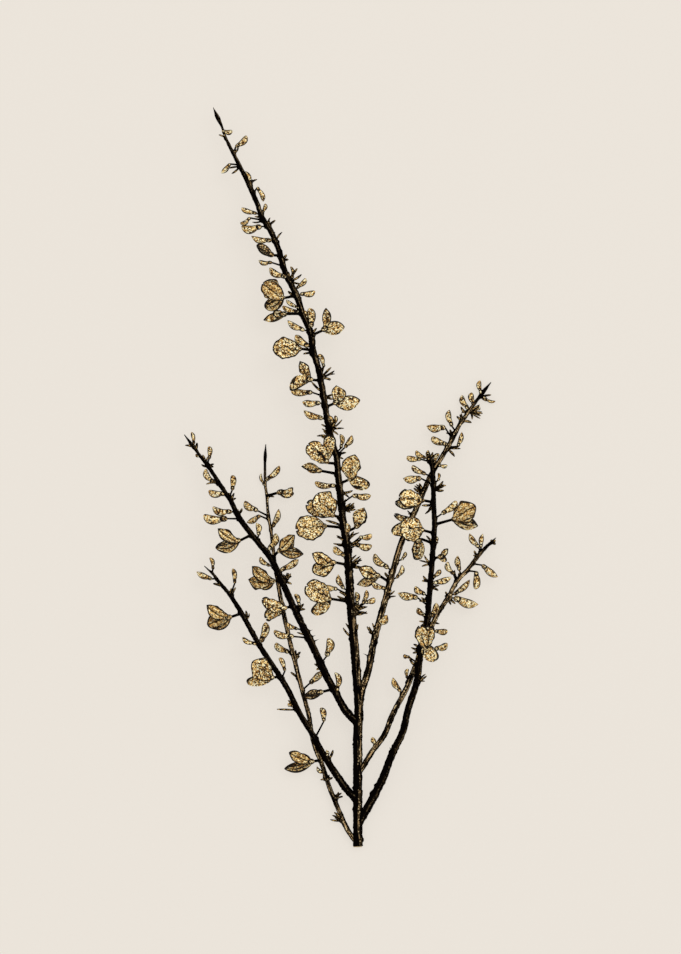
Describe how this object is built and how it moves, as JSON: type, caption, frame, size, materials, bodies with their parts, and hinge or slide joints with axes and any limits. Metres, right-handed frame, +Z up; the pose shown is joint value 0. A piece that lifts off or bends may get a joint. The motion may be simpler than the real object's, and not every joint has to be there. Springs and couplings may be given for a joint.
{
  "type": "dried broom spray",
  "caption": "Cut and dried broom spray lying flat: slender dark stems with small leaves, gold buds and pea-shaped gold blooms.",
  "frame": {"origin": "on the surface it lies on, under the middle of the spray's box", "axes": "+Y from the cut end towards the tips, +Z up from the surface, +X to the right seen from above"},
  "size_m": [0.157, 0.37, 0.0257],
  "materials": {
    "dark_bark": "satin, fine lengthwise streaks",
    "brown_bark": "satin, gold lengthwise streaks",
    "gold_petal": "dry, speckled pale gold with dark veins",
    "brown_petal": "dry, speckled brown with dark veins",
    "gold_bud": "dry, speckled gold",
    "dark_leaf": "dry, matt",
    "cut_wood": "matt, fibrous"
  },
  "bodies": {
    "root": {"main_stem": "dark_bark", "left_outer_stem": "dark_bark", "left_inner_stem": "dark_bark", "left_thin_stem": "brown_bark", "right_upright_stem": "dark_bark", "right_outer_stem": "brown_bark", "right_inner_stem": "brown_bark", "main_bloom_01": "brown_petal", "main_bloom_02": "gold_petal", "main_bloom_03": "gold_petal", "main_bloom_04": "gold_petal", "main_bloom_05": "gold_petal", "main_bloom_06": "gold_petal", "main_bloom_07": "gold_petal", "main_bloom_08": "gold_petal", "main_bloom_09": "gold_petal", "main_bloom_10": "gold_petal", "main_bloom_11": "gold_petal", "main_bloom_12": "gold_petal", "main_bloom_13": "gold_petal", "main_bloom_14": "gold_petal", "main_bloom_15": "gold_petal", "left_outer_bloom_01": "gold_petal", "left_outer_bloom_02": "gold_petal", "left_inner_bloom_01": "gold_petal", "left_inner_bloom_02": "gold_petal", "left_inner_bloom_03": "gold_petal", "left_inner_bloom_04": "gold_petal", "left_inner_bloom_05": "brown_petal", "left_thin_bloom_01": "brown_petal", "left_thin_bloom_02": "gold_petal", "right_upright_bloom_01": "gold_petal", "right_upright_bloom_02": "gold_petal", "right_upright_bloom_03": "gold_petal", "right_upright_bloom_04": "gold_petal", "right_upright_bloom_05": "gold_petal", "right_upright_bloom_06": "gold_petal", "right_inner_bloom_01": "gold_petal"}
  },
  "joints": []
}
